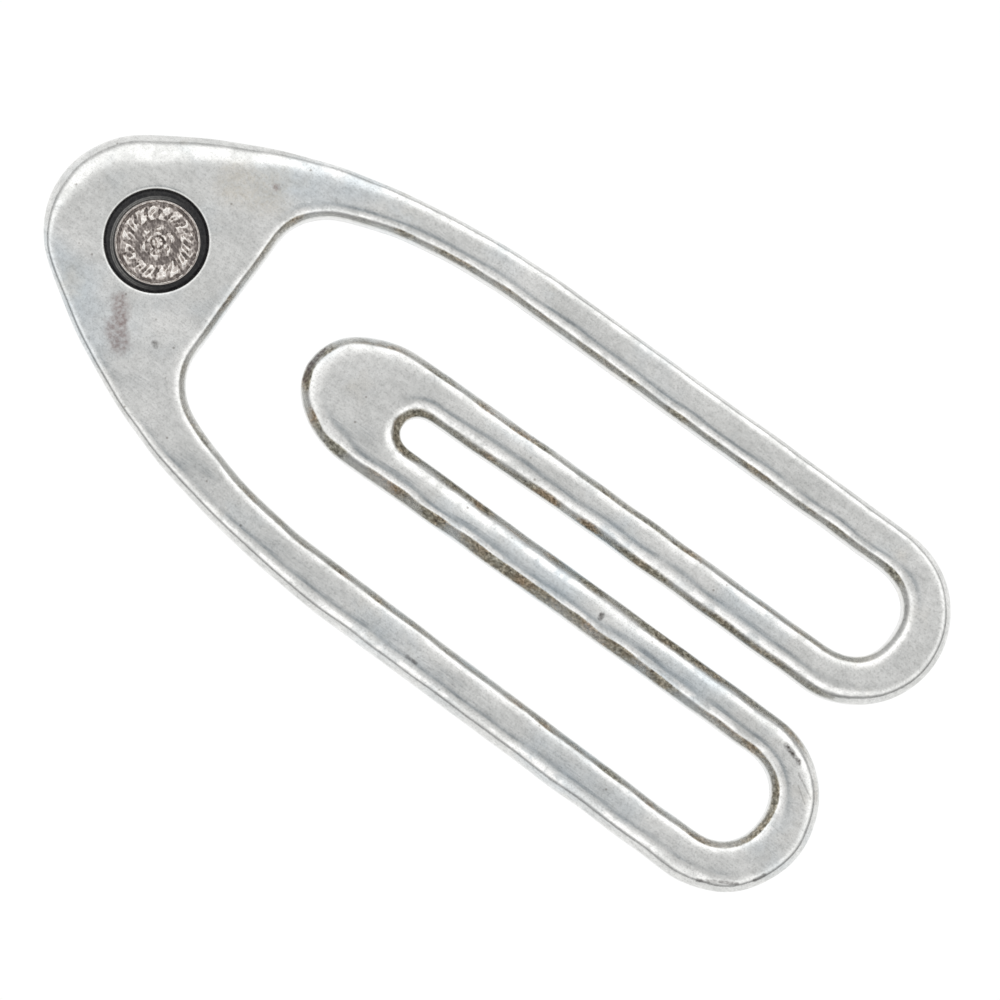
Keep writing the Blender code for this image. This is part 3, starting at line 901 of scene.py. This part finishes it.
def black_enamel():
    """Black resin: a gloss dulled by scuffs, with a painted reflection in two pale arcs by the
    medallion, on one side.
    """
    enamel, tree, output = shader_nodes("black_enamel")
    place = add_node(tree, "ShaderNodeTexCoord").outputs["Object"]
    dust = noise(tree, place, 6500.0, 4.0, 0.7)
    colour = ramp_node(tree, dust, [(0.45, (0.007, 0.007, 0.009)), (0.80, (0.05, 0.048, 0.046))])
    flat_place = vector_node(tree, "MULTIPLY", place, (1, 1, 0))
    out = vector_node(tree, "SUBTRACT", flat_place, (MEDALLION_CENTRE[0] * MM,
                                                     MEDALLION_CENTRE[1] * MM, 0))
    radius = math_node(tree, "MULTIPLY", vector_node(tree, "LENGTH", out), 1 / MM)
    # Two pale arcs round the medallion, on one side only, are a painted reflection.
    ring = ramp_node(tree, math_node(tree, "SUBTRACT", radius, SHEEN_RADIUS), [
        (0.48, 0.0), (0.53, 1.0), (0.58, 0.25), (0.64, 0.8), (0.69, 0.0)])
    side = vector_node(tree, "DOT_PRODUCT", out, (-0.34 / MM, -0.12 / MM, 0))
    side = add_node(tree, "ShaderNodeMapRange", {"Value": side, "From Min": -0.35,
                    "From Max": 0.75, "To Max": 0.75}).outputs["Result"]
    painted_sheen = math_node(tree, "MULTIPLY", math_node(tree, "MULTIPLY", ring, side), dust)
    colour = mixed(tree, painted_sheen, colour, (0.62, 0.61, 0.58, 1))
    rough = ramp_node(tree, noise(tree, place, 900.0, 4.0), [(0.35, 0.20), (0.70, 0.42)])
    bump = add_node(tree, "ShaderNodeBump", {"Height": dust, "Strength": 0.35,
                    "Distance": 0.00001})
    shader = add_node(tree, "ShaderNodeBsdfPrincipled", {
        "Base Color": colour, "Roughness": rough, "Specular IOR Level": 0.35,
        "Normal": bump.outputs[0]})
    tree.links.new(shader.outputs[0], output.inputs["Surface"])
    return enamel


resin = turned(*np.array(RESIN_PROFILE).T, "resin", black_enamel())
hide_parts("resin_bed")
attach(resin, "loop")

# ---------------------------------------------------------------------------------------------
# The medallion: a small struck silver disc
# A plain rim, a ring of leaves and a flower in the middle, struck in relief. Its ground is
# darkened with liver of sulphur and its high parts are rubbed back to a warm silver.
# ---------------------------------------------------------------------------------------------

MEDALLION_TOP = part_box("medallion_disc")[1].z / MM
MEDALLION_LOW = 1.4
MEDALLION_RADIUS = 2.58
MEDALLION_GROUND = 0.20
MEDALLION_ROUND = 0.09
STRUCK_RADIUS = 2.51
SHOULDER_RADIUS = 2.52
STRUCK_ROWS = 110
SHOULDER_ROWS = 6
FLANK_LEAN = 0.13
FLANK_WAY = math.radians(170)
RIM_CREST = 2.49
LEAVES = 16
LEAF_MIDDLE = 1.83
LEAF_HALF = 0.50
PETALS = 6
PETAL_TURN = 0.3


def bell(value, middle, width):
    """A rounded bump of height 1."""
    return np.exp(-((value - middle) / width) ** 2)


def relief(radius, angle):
    """Height of the strike above its ground, 0 to 1, by radius and angle.

    The rim is a bell on its radius. The leaves are a flat-topped ring, notched by a power of a
    cosine of the angle, less a vein: a bell on a radius that swings with the angle. The petals
    end where a power of a cosine says, and powers of sines crease them.
    """
    rim = 0.95 * bell(radius, RIM_CREST, 0.055)
    slant = LEAVES * angle + 1.6 * (radius - 1.8)
    notch = np.abs(np.cos(slant / 2)) ** 0.5
    uneven_leaf = 0.82 + 0.18 * np.sin(5 * angle + 1.3) * np.sin(3 * angle)
    across = 1 - np.clip(np.abs(radius - LEAF_MIDDLE) / LEAF_HALF, 0, 1) ** 4
    vein = 0.8 * bell(radius, 1.80 + 0.10 * np.sin(3 * angle), 0.24)
    vein = vein * np.abs(np.sin(slant + 4 * radius + np.sin(4 * angle))) ** 3
    leaf = np.clip(across * notch * uneven_leaf * 1.25 - vein, 0, 1)
    half_turn = PETALS * angle / 2 + PETAL_TURN
    reach = 0.74 + 0.42 * np.abs(np.cos(half_turn)) ** 0.7
    petal = np.clip(1.3 * (1 - (radius / reach) ** 5), 0, 1)
    crease = np.abs(np.sin(half_turn + 1.6 * radius)) ** 0.45
    fold = 1 - 0.7 * bell(radius, 0.70, 0.08)
    flower = petal * (0.15 + 0.8 * crease) * fold * (1 - 0.9 * bell(radius, 0.38, 0.06))
    heart = 0.9 * bell(radius, 0.0, 0.24)
    return np.clip(rim + leaf + np.maximum(flower, heart), 0, 1)


def make_medallion(material):
    """The struck face from the middle out, a flank that leans out on one side, and the back."""
    rows = np.concatenate([np.linspace(0, STRUCK_RADIUS, STRUCK_ROWS),
                           np.linspace(SHOULDER_RADIUS, MEDALLION_RADIUS, SHOULDER_ROWS)])
    angle = np.linspace(0, 2 * math.pi, TURN_STEPS, endpoint=False)[None]
    struck = relief(rows[:, None], angle)
    x, y = rows[:, None] * np.cos(angle), rows[:, None] * np.sin(angle)
    struck = np.clip(struck * (0.82 + 0.26 * ripple(x, y, 0.36, 31))
                     + 0.10 + 0.09 * ripple(x, y, 0.24, 37), 0, 1)
    struck[0] = struck[0].mean()
    shoulder = (rows - SHOULDER_RADIUS) / (MEDALLION_RADIUS - SHOULDER_RADIUS)
    shoulder = np.clip(shoulder, 0, 1)[:, None]
    level = MEDALLION_TOP - MEDALLION_GROUND * (1 - struck) * (1 - shoulder)
    level = level - MEDALLION_ROUND * shoulder ** 2
    flank = FLANK_LEAN * np.clip(np.cos(angle - FLANK_WAY), 0, 1)
    side = [(MEDALLION_RADIUS + 0.5 * flank, 2.10), (MEDALLION_RADIUS + flank, 1.98),
            (MEDALLION_RADIUS + flank, 1.85), (MEDALLION_RADIUS, MEDALLION_LOW + 0.06),
            (MEDALLION_RADIUS - 0.06, MEDALLION_LOW), (1.2, MEDALLION_LOW), (0.0, MEDALLION_LOW)]
    radii = np.vstack([rows[:, None] + 0 * angle] + [radius + 0 * angle for radius, _ in side])
    levels = np.vstack([level] + [low + 0 * angle for _, low in side])
    return turned(radii, levels, "medallion", material, MEDALLION_CENTRE)


def struck_silver():
    """Dark in the ground, warm pale silver on the high parts, by the height of each point."""
    silver, tree, output = shader_nodes("struck_silver")
    place = add_node(tree, "ShaderNodeTexCoord").outputs["Object"]
    level = add_node(tree, "ShaderNodeSeparateXYZ", {"Vector": place}).outputs["Z"]
    high = add_node(tree, "ShaderNodeMapRange", {
        "Value": level, "From Min": (MEDALLION_TOP - MEDALLION_GROUND) * MM,
        "From Max": MEDALLION_TOP * MM}).outputs["Result"]
    speck = noise(tree, place, 7000.0, 4.0, 0.7)
    patch = noise(tree, place, 1300.0, 3.0)
    worn = math_node(tree, "MULTIPLY", math_node(tree, "ADD", speck, patch), 0.55)
    worn = math_node(tree, "ADD", high, math_node(tree, "SUBTRACT", worn, 0.55))
    colour = ramp_node(tree, worn, [
        (0.02, (0.17, 0.148, 0.14)), (0.24, (0.32, 0.287, 0.268)), (0.52, (0.53, 0.485, 0.455)),
        (0.86, (0.84, 0.80, 0.76))])
    flat_place = vector_node(tree, "MULTIPLY", place, (1, 1, 0))
    middle = (MEDALLION_CENTRE[0] * MM, MEDALLION_CENTRE[1] * MM, 0)
    out = vector_node(tree, "DISTANCE", flat_place, middle)
    flank = add_node(tree, "ShaderNodeMapRange", {
        "Value": out, "From Min": (MEDALLION_RADIUS - 0.01) * MM,
        "From Max": (MEDALLION_RADIUS + 0.02) * MM, "To Max": 0.8}).outputs["Result"]
    colour = mixed(tree, flank, colour, (0.30, 0.29, 0.28, 1))
    rough = ramp_node(tree, worn, [(0.1, 0.55), (0.8, 0.24)])
    bump = add_node(tree, "ShaderNodeBump", {"Height": speck, "Strength": 0.6,
                    "Distance": 0.00002})
    shader = add_node(tree, "ShaderNodeBsdfPrincipled", {
        "Base Color": colour, "Metallic": 1.0, "Roughness": rough, "Normal": bump.outputs[0]})
    tree.links.new(shader.outputs[0], output.inputs["Surface"])
    return silver


medallion = make_medallion(struck_silver())
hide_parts("medallion_disc")
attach(medallion, "loop")
